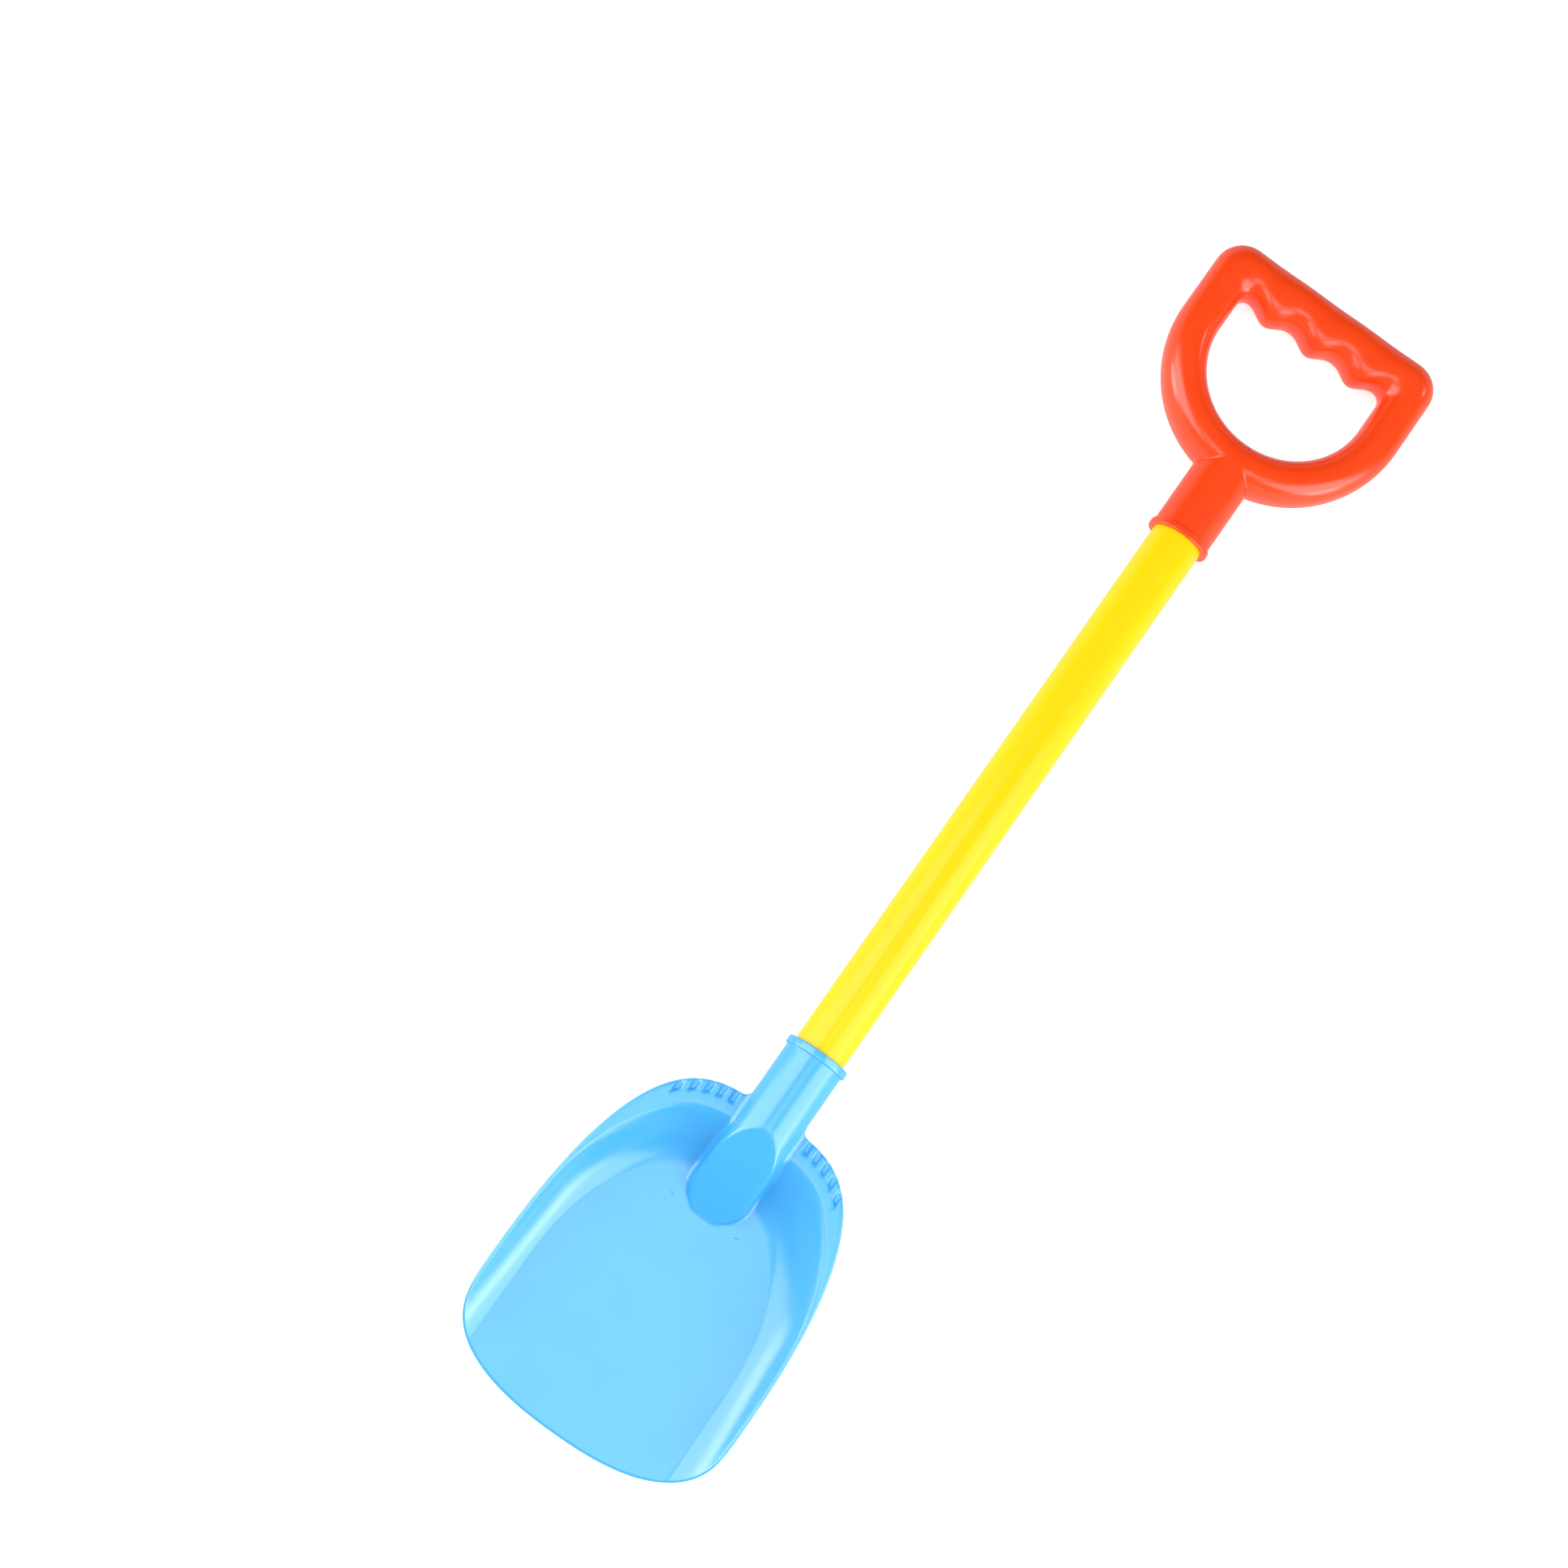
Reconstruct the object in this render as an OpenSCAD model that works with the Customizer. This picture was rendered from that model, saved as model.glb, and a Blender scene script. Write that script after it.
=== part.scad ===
// Long-handled toy sand shovel: moulded pan, round tube and hollow D-grip, lying flat with the pan open upwards.
// Millimetres. X to the right, Y from the pan's tip to the grip, Z up from the ground, origin under the middle.

/* [Tube] */
// Outside diameter of the tube
tube_d = 20; // [16:0.5:26]
// Wall of the tube
tube_wall = 1.5; // [1:0.1:3]
// Length of tube that shows between the two sockets
tube_show = 229.5; // [120:0.5:400]
// Length of tube inside the scoop's socket
tube_in_scoop = 31; // [24:0.5:40]

/* [Sockets] */
// Gap all round the tube in its sockets
fit_gap = 0.1; // [0.05:0.05:0.4]
// Wall of both sockets
socket_wall = 1.3; // [1:0.1:3]
// How far the beads at the mouths stand out
bead_proud = 0.9; // [0.3:0.1:2]
// Length of the bead on the scoop's mouth
scoop_bead_len = 3; // [2:0.5:6]
// Length of the lip on the grip's mouth
grip_bead_len = 2.4; // [1.5:0.1:6]
// Chamfer on the beads
bead_chamfer = 0.5; // [0.2:0.1:1]
// Inward step that stops the tube in each socket
stop_step = 1.6; // [0.8:0.1:2.5]

/* [Pan] */
// Length of the pan from its tip to its back edge
pan_len = 133.5; // [100:0.5:180]
// Width of the pan over its rim
pan_w = 107; // [80:0.5:160]
// Depth of the pan at the back
pan_depth = 12; // [9:0.5:20]
// Height of the side walls at the front corners
front_depth = 8; // [4:0.5:16]
// Thickness of the pan
floor_t = 2; // [1.4:0.1:3]
// Distance from the tip to the widest place
widest_at = 40; // [30:0.5:55]
// Width in plan of a side wall
side_run = 11.2; // [9:0.1:16]
// Length in plan of the back wall and its tread
back_run = 32; // [26:0.5:42]
// Share of the side wall that is flat rim
rim_share = 0.19; // [0.1:0.01:0.3]
// Share of the back wall that is flat tread
tread_share = 0.32; // [0.2:0.01:0.45]
// How far the tread lies below the crest of the back wall
tread_drop = 0.8; // [0.3:0.1:1]
// Ribs on each shoulder
rib_count = 4; // [1:1:5]
// Distance from the middle to the first rib
rib_first = 19.4; // [17:0.1:24]
// Distance from rib to rib
rib_pitch = 5.3; // [4.5:0.1:6]
// Width of a rib
rib_w = 3; // [1.5:0.1:4]
// Length of a rib
rib_len = 7; // [4:0.5:9]

/* [Scoop socket] */
// Length of the socket behind the pan's back edge
neck_len = 26.5; // [20:0.5:40]
// Radius of the corner between the socket and the tread
neck_fillet = 3; // [1:0.5:5]
// Room between the tube's end and the wall under the slanted cut
tongue_room = 1.2; // [0.5:0.1:4]
// Slope of the slanted cut on the tongue
scarf_slope = 31; // [26:0.5:36]
// Wall under the slanted cut
scarf_wall = 2; // [1.5:0.1:3]

/* [Grip] */
// Length of the grip from its mouth to its top edge
grip_len = 109.5; // [95:0.5:140]
// Width of the grip
grip_w = 96; // [84:0.2:120]
// Width of the opening for the hand
open_w = 64; // [54:0.2:72]
// Height of the opening for the hand, up to the finger grooves
open_h = 47.5; // [36:0.1:56]
// Depth of the top bar that the hand holds
bar_depth = 17.4; // [14:0.1:24]
// Width of the D where the socket joins it
yoke_depth = 16.5; // [14:0.1:24]
// Thickness of the top bar and the sides
bar_t = 19; // [14:0.2:22]
// Radius of the outer top corners
corner_r = 11; // [6:0.5:16]
// Radius of the opening's top corners
inner_r = 4.2; // [2:0.1:6]
// Number of finger bumps
bump_count = 3; // [1:2:3]
// Distance from bump to bump
bump_pitch = 19; // [15:0.5:20]
// Height of a finger bump
bump_h = 3.8; // [1:0.1:5]
// Wall of the hollow grip
grip_wall = 1.5; // [1.2:0.1:2.5]

/* [Screws] */
// Diameter of the tapping screws
screw_d = 2.9; // [2.2:0.1:3.5]
// Diameter of the screw heads
head_d = 5.2; // [4.2:0.1:6]
// Length of the screws
screw_len = 6.5; // [5:0.5:9]
// How far the heads lie below the socket's surface
head_sink = 0.25; // [0.1:0.05:0.4]
// Gap round a screw in its holes
screw_gap = 0.06; // [0.02:0.02:0.2]
// Distance from a socket's mouth to its screw
screw_in = 12; // [8:0.5:18]

/* [Hidden] */
$fn = 64;
tiny = 0.01;
lap = 1;
slit = 0.05;

// Shape numbers of the rim and floor outlines: the higher, the squarer
front_p = 3.6;
front_q = 2.35;
back_p = 2.35;
back_q = 3.6;
floor_p = 2.5;
floor_q = 2.4;

// Steps of the pan's grid: front corner, back, wall and front edge
corner_n = 6;
back_n = 20;
wall_n = 9;
edge_n = 10;
warp = 1.3;

// Steps of the grip's grid and of its hollow
arc_n = 14;
side_n = 3;
turn_n = 4;
top_n = 16;
ring_n = 16;
hollow_n = 10;
ring_pow = 2.4;
bump_pow = 1.2;

// Sizes worked out from the ones above
tube_r = tube_d / 2;
bore_r = tube_r + fit_gap;
socket_r = bore_r + socket_wall;
bead_r = socket_r + bead_proud;
stop_r = bore_r - stop_step;
axis_h = bead_r;
skin_z = axis_h - socket_r;
scoop_len = pan_len + neck_len;
total_len = scoop_len + tube_show + grip_len;
tip_y = -total_len / 2;
scoop_mouth_y = tip_y + scoop_len;
grip_mouth_y = scoop_mouth_y + tube_show;

// Places in the pan, as distances from its tip
half_w = pan_w / 2;
floor_half = half_w - side_run;
back_len = pan_len - widest_at;
floor_back = pan_len - back_run;
floor_run = floor_back - widest_at;
crest_at = pan_len - tread_share * back_run;
crest_z = floor_t + pan_depth;
ramp_shares = [0.65, 0.33];
tread_ramp = [for (s = ramp_shares) pan_len - s * back_run];
wall_full_share = 0.75;
wall_full_at = wall_full_share * pan_len;
tread_step = 0.25;

// Tongue: it ends where its slope, kept clear of the tube, meets the pan's floor
tongue_rise = axis_h + bore_r + scarf_wall / cos(scarf_slope) - floor_t;
tongue_end = scoop_len - tube_in_scoop - tongue_room - tongue_rise / tan(scarf_slope);
tongue_bend = tongue_end + socket_r;
foot_r = socket_r - 0.25;
foot_z = 0.7 * floor_t;

// Places along the grip, as distances from its mouth
groove_y = grip_len - bar_depth;
open_y = groove_y - open_h;
yoke_y = open_y - yoke_depth;
yoke_mid = yoke_y + yoke_depth / 2;
tube_in_grip = yoke_y;

// Screws
head_h = socket_wall - head_sink - slit;
scoop_screw_y = scoop_mouth_y - screw_in;
grip_screw_y = grip_mouth_y + screw_in;
slot_w = 0.7;
slot_l = head_d / 2;
slot_h = head_h / 2;
point_d = 0.6;

// Curves shared by the pan and the grip
function held(v) = min(1, max(0, v));
function ease(v) = let (c = held(v)) c * c * (3 - 2 * c);

// Pan: how far a place lies outside the floor's outline and inside the rim's outline
function beyond(d) = max(0, d - widest_at);
function past_floor(x, d) = let (
    a = max(abs(x), tiny) / floor_half,
    b = beyond(d) / floor_run,
    g = pow(a, floor_q) + pow(b, floor_p) - 1,
    gx = floor_q * pow(a, floor_q - 1) / floor_half,
    gd = floor_p * pow(b, floor_p - 1) / floor_run)
    g / norm([gx, gd]);
function within_rim(x, d) = let (
    a = max(abs(x), tiny) / half_w,
    b = beyond(d) / back_len,
    g = 1 - pow(a, back_q) - pow(b, back_p),
    gx = back_q * pow(a, back_q - 1) / half_w,
    gd = back_p * pow(b, back_p - 1) / back_len)
    max(0, g / norm([gx, gd]));
function wall_at(x, d) = let (out = past_floor(x, d)) out <= 0 ? 0 : out / (out + within_rim(x, d));

// Pan: height of its inside, the same without the tread, and its outside below that
function flat_share(d) = rim_share + (tread_share - rim_share) * ease((d - pan_len / 2) / (pan_len / 2));
function wall_h(d) = front_depth + (pan_depth - front_depth) * ease(d / wall_full_at);
function bowl_z(x, d) = floor_t + wall_h(d) * ease(wall_at(x, d) / (1 - flat_share(d)));
function tread_z(x, d) = let (s = flat_share(d))
    tread_drop * ease((d - tread_ramp[0]) / (tread_ramp[1] - tread_ramp[0]))
    * ease((wall_at(x, d) - 1 + s) / (tread_step * s));
function inside_z(x, d) = bowl_z(x, d) - tread_z(x, d);
function outside_z(x, d) = let (
    step = 0.3,
    sx = (bowl_z(x + step, d) - bowl_z(x - step, d)) / (2 * step),
    sd = (bowl_z(x, d + step) - bowl_z(x, d - step)) / (2 * step))
    max(0, bowl_z(x, d) - floor_t * sqrt(1 + sx * sx + sd * sd));

// Pan: outlines seen from above, by an angle that is 90 at the tip or at the back
function front_edge(t) = [half_w * pow(cos(t), 2 / front_q), widest_at * (1 - pow(sin(t), 2 / front_p))];
function back_edge(t) = [half_w * pow(cos(t), 2 / back_q), widest_at + back_len * pow(sin(t), 2 / back_p)];
function floor_edge(t) = [floor_half * pow(cos(t), 2 / floor_q), widest_at + floor_run * pow(sin(t), 2 / floor_p)];
function rim_back(x) = widest_at + back_len * pow(1 - pow(abs(x) / half_w, back_q), 1 / back_p);
corner_t = acos(pow(floor_half / half_w, front_q / 2));
function row_ends(k) = k < corner_n
    ? let (e = front_edge(corner_t * (1 - (k + 1) / (corner_n + 1)))) [[floor_half, e[1]], e]
    : let (t = 90 * pow((k - corner_n) / back_n, warp)) [floor_edge(t), back_edge(t)];
row_n = corner_n + back_n;
function flip(p, on) = on ? [-p[0], p[1]] : p;
wall_xy = [for (m = [0 : 2 * row_n])
    let (k = min(m, 2 * row_n - m), ends = row_ends(k))
    for (j = [0 : wall_n]) flip(ends[0] + (ends[1] - ends[0]) * j / wall_n, m > row_n)];
edge_xy = [for (i = [0 : 2 * edge_n])
    let (k = min(i, 2 * edge_n - i), p = front_edge(corner_t + (90 - corner_t) * k / edge_n))
    flip(p, i > edge_n)];
pan_xy = concat(wall_xy, edge_xy);
pan_n = len(pan_xy);
function cell(m, j) = m * (wall_n + 1) + j;
function lip(i) = (2 * row_n + 1) * (wall_n + 1) + i;
wall_faces = [for (m = [0 : 2 * row_n - 1]) for (j = [0 : wall_n - 1])
    each [[cell(m, j), cell(m + 1, j), cell(m + 1, j + 1)], [cell(m, j), cell(m + 1, j + 1), cell(m, j + 1)]]];
corner_faces = [for (j = [0 : wall_n - 1])
    each [[lip(0), cell(0, j), cell(0, j + 1)], [cell(2 * row_n, j), lip(2 * edge_n), cell(2 * row_n, j + 1)]]];
floor_faces = concat(
    [for (k = [0 : row_n - 2]) [cell(2 * row_n - k, 0), cell(2 * row_n - k - 1, 0), cell(k + 1, 0), cell(k, 0)]],
    [[cell(row_n + 1, 0), cell(row_n, 0), cell(row_n - 1, 0)]],
    [[lip(2 * edge_n), cell(2 * row_n, 0), cell(0, 0), lip(0)]],
    [for (i = [0 : edge_n - 2]) [lip(2 * edge_n - i - 1), lip(2 * edge_n - i), lip(i), lip(i + 1)]],
    [[lip(edge_n), lip(edge_n + 1), lip(edge_n - 1)]]);
top_faces = concat(wall_faces, corner_faces, floor_faces);
under_faces = [for (f = top_faces) [for (i = [len(f) - 1 : -1 : 0]) f[i] + pan_n]];
rim_loop = concat([for (m = [0 : 2 * row_n]) cell(m, wall_n)], [for (i = [2 * edge_n : -1 : 0]) lip(i)]);
rim_faces = [for (i = [0 : len(rim_loop) - 1])
    let (a = rim_loop[i], b = rim_loop[(i + 1) % len(rim_loop)]) [a, b, b + pan_n, a + pan_n]];

module pan() {
    points = concat(
        [for (p = pan_xy) [p[0], p[1] + tip_y, inside_z(p[0], p[1])]],
        [for (p = pan_xy) [p[0], p[1] + tip_y, outside_z(p[0], p[1])]]);
    polyhedron(points, concat(top_faces, under_faces, rim_faces), convexity = 6);
}

module shoulder_ribs() {
    rib_h = tread_drop + 0.4;
    rim_gap = 1;
    for (side = [-1, 1], i = [0 : rib_count - 1]) {
        x = rib_first + i * rib_pitch;
        back_y = tip_y + rim_back(x + rib_w / 2) - rim_gap;
        translate([side * x - rib_w / 2, back_y - rib_len, crest_z - rib_h]) cube([rib_w, rib_len, rib_h]);
    }
}

// A rounded inside corner on each side, where the tread meets the socket
module neck_corners() {
    tread_top = crest_z - tread_drop;
    tread_t = floor_t - tread_drop;
    back_y = tip_y + rim_back(socket_r + neck_fillet);
    for (side = [0, 1]) mirror([side, 0, 0])
        translate([socket_r, back_y, tread_top - tread_t]) linear_extrude(tread_t) difference() {
            translate([-lap, -lap]) square(neck_fillet + lap);
            translate([neck_fillet, neck_fillet]) circle(neck_fillet);
        }
}

// A bar of round section along Y, from one place to another
module round_y(r, from, to) {
    translate([0, to, axis_h]) rotate([90, 0, 0]) cylinder(r = r, h = to - from);
}

// A ring with chamfered edges round the socket's mouth
module bead(len) {
    rotate_extrude() polygon([
        [stop_r, 0], [bead_r - bead_chamfer, 0], [bead_r, bead_chamfer],
        [bead_r, len - bead_chamfer], [bead_r - bead_chamfer, len], [stop_r, len]]);
}

// Everything above a slope that meets the pan's floor at the tongue's end
module above_scarf(drop) {
    reach = 200;
    translate([0, tip_y + tongue_end, floor_t - drop / cos(scarf_slope)]) rotate([scarf_slope, 0, 0])
        translate([-reach / 2, -reach / 2, 0]) cube([reach, reach, reach]);
}

// The socket and its foot, which stands on the pan's floor and back wall and has a round front end
module tongue() {
    bend_y = tip_y + tongue_bend;
    wall_low = max(tongue_bend + slit, floor_back);
    wall_high = max(wall_low + slit, crest_at - floor_t);
    round_y(socket_r, bend_y, scoop_mouth_y);
    translate([0, tip_y, 0]) rotate([90, 0, 90]) linear_extrude(2 * foot_r, center = true) polygon([
        [tongue_bend, foot_z], [wall_low, foot_z], [wall_high, min(axis_h, crest_z) - foot_z],
        [wall_high, axis_h], [tongue_bend, axis_h]]);
    translate([0, bend_y, foot_z]) cylinder(r = foot_r, h = axis_h - foot_z);
}

module screw_hole(y) {
    hole_d = screw_d + 2 * screw_gap;
    sink_d = head_d + 2 * screw_gap;
    translate([0, y, skin_z - lap]) cylinder(d = hole_d, h = axis_h);
    translate([0, y, skin_z - lap]) cylinder(d = sink_d, h = lap + head_sink);
    translate([0, y, skin_z + head_sink]) cylinder(d1 = sink_d, d2 = hole_d, h = head_h);
}

module scoop() {
    stop_y = scoop_mouth_y - tube_in_scoop;
    color("deepskyblue") difference() {
        union() {
            pan();
            shoulder_ribs();
            neck_corners();
            difference() {
                tongue();
                above_scarf(0);
            }
            translate([0, scoop_mouth_y, axis_h]) rotate([90, 0, 0]) bead(scoop_bead_len);
        }
        round_y(bore_r, stop_y, scoop_mouth_y + lap);
        difference() {
            round_y(stop_r, tip_y + tongue_bend, stop_y + lap);
            above_scarf(scarf_wall);
        }
        screw_hole(scoop_screw_y);
    }
}

module shaft_tube() {
    from_y = scoop_mouth_y - tube_in_scoop;
    to_y = grip_mouth_y + tube_in_grip;
    color("gold") difference() {
        round_y(tube_r, from_y, to_y);
        round_y(tube_r - tube_wall, from_y - lap, to_y + lap);
        for (y = [scoop_screw_y, grip_screw_y])
            translate([0, y, 0]) cylinder(d = screw_d + 2 * screw_gap, h = axis_h);
    }
}

// Grip: outlines of the D and of its opening, from its mouth, as [x, y] by station
outer_half = grip_w / 2;
open_half = open_w / 2;
outer_mid = min(yoke_y + outer_half, grip_len - corner_r - lap);
open_mid = min(open_y + open_half, groove_y - inner_r - lap);
bump_reach = bump_count * bump_pitch / 2;
function bump(x) = abs(x) >= bump_reach ? 0 : bump_h * pow((1 + cos(360 * x / bump_pitch)) / 2, bump_pow);
function arc_pair(a) = [
    [open_half * cos(a), open_mid + (open_mid - open_y) * sin(a)],
    [outer_half * cos(a), outer_mid + (outer_mid - yoke_y) * sin(a)]];
function side_pair(v) = [
    [open_half, open_mid + (groove_y - inner_r - open_mid) * v],
    [outer_half, outer_mid + (grip_len - corner_r - outer_mid) * v]];
function turn_pair(a) = [
    [open_half - inner_r + inner_r * cos(a), groove_y - inner_r + inner_r * sin(a)],
    [outer_half - corner_r + corner_r * cos(a), grip_len - corner_r + corner_r * sin(a)]];
function top_pair(v) = let (x = (open_half - inner_r) * v)
    [[x, groove_y - bump(x)], [(outer_half - corner_r) * v, grip_len]];
function mirrored(pairs) = [for (i = [len(pairs) - 1 : -1 : 0]) [for (p = pairs[i]) [-p[0], p[1]]]];
right_side = concat(
    [for (i = [0 : side_n - 1]) side_pair(i / side_n)],
    [for (i = [0 : turn_n - 1]) turn_pair(90 * i / turn_n)]);
d_pairs = concat(
    [for (i = [-arc_n : -1]) arc_pair(90 * i / arc_n)],
    right_side,
    [for (i = [0 : 2 * top_n]) top_pair(1 - i / top_n)],
    mirrored(right_side),
    [for (i = [1 : arc_n - 1]) arc_pair(180 + 90 * i / arc_n)]);
d_n = len(d_pairs);

// Grip: half thickness, swelling to the socket's at the foot of the D
yoke_half_t = socket_r + 0.7 * bead_proud;
function half_t(y) = bar_t / 2 + (yoke_half_t - bar_t / 2) * ease((open_mid - y) / (open_mid - yoke_y));
function rounded(v) = sign(v) * pow(abs(v), 2 / ring_pow);
function ring_point(pair, a, wall) = let (
    mid = (pair[0] + pair[1]) / 2,
    half = (pair[1] - pair[0]) / 2,
    reach = norm(half),
    flat = mid + half * (reach - wall) / reach * rounded(cos(a)))
    [flat[0], flat[1] + grip_mouth_y, axis_h + (half_t(mid[1]) - wall) * rounded(sin(a))];

module d_ring(wall, n) {
    points = [for (pair = d_pairs) for (i = [0 : n - 1]) ring_point(pair, 360 * i / n, wall)];
    faces = [for (s = [0 : d_n - 1]) for (i = [0 : n - 1])
        let (t = (s + 1) % d_n, k = (i + 1) % n)
        each [[s * n + i, t * n + k, t * n + i], [s * n + i, s * n + k, t * n + k]]];
    polyhedron(points, faces, convexity = 6);
}

module grip_handle() {
    stop_y = grip_mouth_y + tube_in_grip;
    color("orangered") difference() {
        union() {
            d_ring(0, ring_n);
            round_y(socket_r, grip_mouth_y, grip_mouth_y + yoke_mid);
            translate([0, grip_mouth_y, axis_h]) rotate([-90, 0, 0]) bead(grip_bead_len);
        }
        d_ring(grip_wall, hollow_n);
        round_y(bore_r, grip_mouth_y - lap, stop_y);
        round_y(stop_r, stop_y - lap, grip_mouth_y + yoke_mid);
        screw_hole(grip_screw_y);
    }
}

module screw(y) {
    point_h = screw_d / 2;
    color("silver") translate([0, y, skin_z + head_sink]) difference() {
        union() {
            cylinder(d1 = head_d, d2 = screw_d, h = head_h);
            cylinder(d = screw_d, h = screw_len - point_h);
            translate([0, 0, screw_len - point_h]) cylinder(d1 = screw_d, d2 = point_d, h = point_h);
        }
        for (turn = [0, 90]) rotate([0, 0, turn])
            translate([-slot_l / 2, -slot_w / 2, -lap]) cube([slot_l, slot_w, lap + slot_h]);
    }
}

module scoop_screw() {
    screw(scoop_screw_y);
}

module grip_screw() {
    screw(grip_screw_y);
}

scoop();
shaft_tube();
grip_handle();
scoop_screw();
grip_screw();
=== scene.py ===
"""Looks of a long-handled toy sand shovel: blue pan, yellow tube, red D-grip and two zinc screws.

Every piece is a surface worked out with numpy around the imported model, in its frame: X to the right,
Y from the pan's tip to the grip, Z up from the ground. Shapes are worked out in millimetres and go into
Blender in metres.
"""

import math

import bmesh
import bpy
import numpy as np
from mathutils import Matrix, Vector


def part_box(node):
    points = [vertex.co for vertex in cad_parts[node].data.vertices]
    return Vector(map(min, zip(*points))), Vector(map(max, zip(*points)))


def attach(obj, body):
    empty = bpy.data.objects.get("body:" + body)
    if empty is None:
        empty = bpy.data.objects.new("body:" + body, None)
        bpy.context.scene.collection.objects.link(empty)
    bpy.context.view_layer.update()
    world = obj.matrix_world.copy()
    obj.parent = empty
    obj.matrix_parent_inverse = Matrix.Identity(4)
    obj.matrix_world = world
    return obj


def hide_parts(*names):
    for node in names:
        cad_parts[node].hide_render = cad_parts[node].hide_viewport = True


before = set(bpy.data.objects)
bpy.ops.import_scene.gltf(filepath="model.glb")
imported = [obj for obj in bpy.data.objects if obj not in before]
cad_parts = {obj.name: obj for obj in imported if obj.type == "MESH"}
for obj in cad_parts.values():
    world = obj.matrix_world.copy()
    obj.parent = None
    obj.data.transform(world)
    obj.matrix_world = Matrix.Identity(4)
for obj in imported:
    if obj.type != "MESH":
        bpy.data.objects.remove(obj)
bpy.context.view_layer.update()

MM = 0.001
TINY = 1e-9
QUARTER = math.pi / 2

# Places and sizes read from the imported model
scoop_low, scoop_high = (np.array(corner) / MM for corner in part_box("scoop"))
tube_low, tube_high = (np.array(corner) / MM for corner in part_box("shaft_tube"))
grip_low, grip_high = (np.array(corner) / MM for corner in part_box("grip_handle"))
TIP_Y = scoop_low[1]
SCOOP_LEN = scoop_high[1] - scoop_low[1]
HALF_W = scoop_high[0]
GRIP_MOUTH_Y = grip_low[1]
GRIP_LEN = grip_high[1] - grip_low[1]
OUTER_HALF = grip_high[0]
TUBE_R = tube_high[0]
TUBE_FROM = tube_low[1]
TUBE_TO = tube_high[1]
BEAD_R = grip_high[2] / 2
AXIS_H = BEAD_R

# Tube and sockets
TUBE_WALL = 1.5
TUBE_EDGE = 0.4
FIT_GAP = 0.1
SOCKET_WALL = 1.3
BORE_R = TUBE_R + FIT_GAP
SOCKET_R = BORE_R + SOCKET_WALL
SCOOP_BORE = 31.0
SCOOP_BEAD = 3.0
GRIP_BEAD = 2.4
BEAD_FOOT = 0.25
BEAD_EDGE = 0.5
MOUTH_EDGE = 0.3

# Pan, with distances from its tip
PAN_LEN = 133.5
PAN_DEPTH = 12.0
FRONT_DEPTH = 8.0
FLOOR_T = 2.0
WIDEST_AT = 40.0
SIDE_RUN = 11.2
BACK_RUN = 32.0
FLOOR_HALF = HALF_W - SIDE_RUN
BACK_LEN = PAN_LEN - WIDEST_AT
FLOOR_BACK = PAN_LEN - BACK_RUN
FLOOR_RUN = FLOOR_BACK - WIDEST_AT
SIDE_RIM_SHARE = 0.12
BACK_RIM_SHARE = 0.32
HOLLOW_START = 0.75
HOLLOW_ARC = 0.97
HOLLOW_ROUND = 1.5
HOLLOW_FADE = (70.0, 112.0)
WALL_FULL_SHARE = 0.75
WALL_FULL_AT = WALL_FULL_SHARE * PAN_LEN
RIM_ROUND = 1.0

# Powers of the outlines of the pan's front edge, its back and its floor
FRONT_P, FRONT_Q = 3.6, 2.35
BACK_P, BACK_Q = 2.35, 3.6
FLOOR_P, FLOOR_Q = 2.5, 2.4

# Pockets on each shoulder
POCKET_FIRST = 15.8
POCKET_PITCH = 4.6
POCKET_COUNT = 5
POCKET_HALF = 1.0
POCKET_LEN = 5.5
POCKET_SOFT = 1.5
POCKET_DEPTH = 1.3

# Tongue and socket of the scoop
NECK_FILLET = 3.0
SCARF_DEGREES = 31.0
SCARF_SLOPE = math.tan(math.radians(SCARF_DEGREES))
TONGUE_END = 90.0
TONGUE_BEND = TONGUE_END + SOCKET_R
SCARF_BLEND = 1.0
SCARF_ROUND = 2.5
FOOT_ROUND = 2.5

# Grip, with distances from its mouth
OPEN_HALF = 32.0
GROOVE_AT = 92.1
OPEN_AT = 44.6
YOKE_AT = 28.1
OUTER_MID = YOKE_AT + OUTER_HALF
OPEN_MID = OPEN_AT + OPEN_HALF
BAR_HALF_T = 9.5
YOKE_DROP = 0.5
YOKE_HALF_T = SOCKET_R - YOKE_DROP
CORNER_R = 11.0
INNER_R = 4.2
RING_POW = 2.4
BUMP_COUNT = 3
BUMP_PITCH = 19.0
BUMP_H = 3.8
BUMP_POW = 1.2
CAP_FROM = 34.0
CAP_LEN = 10.6
YOKE_BLEND = 0.5
YOKE_FADE = 2.0
YOKE_TOP = 1.6

# Screws
SCREW_IN = 12.0
SCREW_ROOM = 6.0
SINK_R = 2.66
SINK_DEPTH = 0.45
SINK_SOFT = 0.1

# Steps of the grids
FINE = 1500
PAN_TOP, PAN_UNDER = 96, 52
GRIP_COLS = 60
TUBE_COLS = 128
BEND_MM = 2.5
BEND_MOST = 6.0

# Lengths too small to see, in millimetres
MERGE_MM = 0.004
EMPTY_MM = 0.001
SLACK = 0.01

# Finishes
EVEN = (1.0, 1.0, 1.0)
NOISE_LOW, NOISE_HIGH = 0.3, 0.7
PLASTIC_IOR = 1.49
WHITE = (1.0, 1.0, 1.0, 1.0)


def ease(v):
    """A smooth step: 3c^2 - 2c^3 of v held between 0 and 1."""
    c = np.clip(v, 0.0, 1.0)
    return c * c * (3.0 - 2.0 * c)


def soft_max(a, b, k):
    """The larger of a and b, with a parabola of height k/4 over the corner, where they differ by under k."""
    k = np.maximum(k, TINY)
    gap = np.maximum(0.0, 1.0 - np.abs(a - b) / k)
    return np.maximum(a, b) + gap * gap * k / 4.0


def soft_min(a, b, k):
    """The smaller of a and b, rounded off in the same way."""
    return -soft_max(-a, -b, k)


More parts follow.
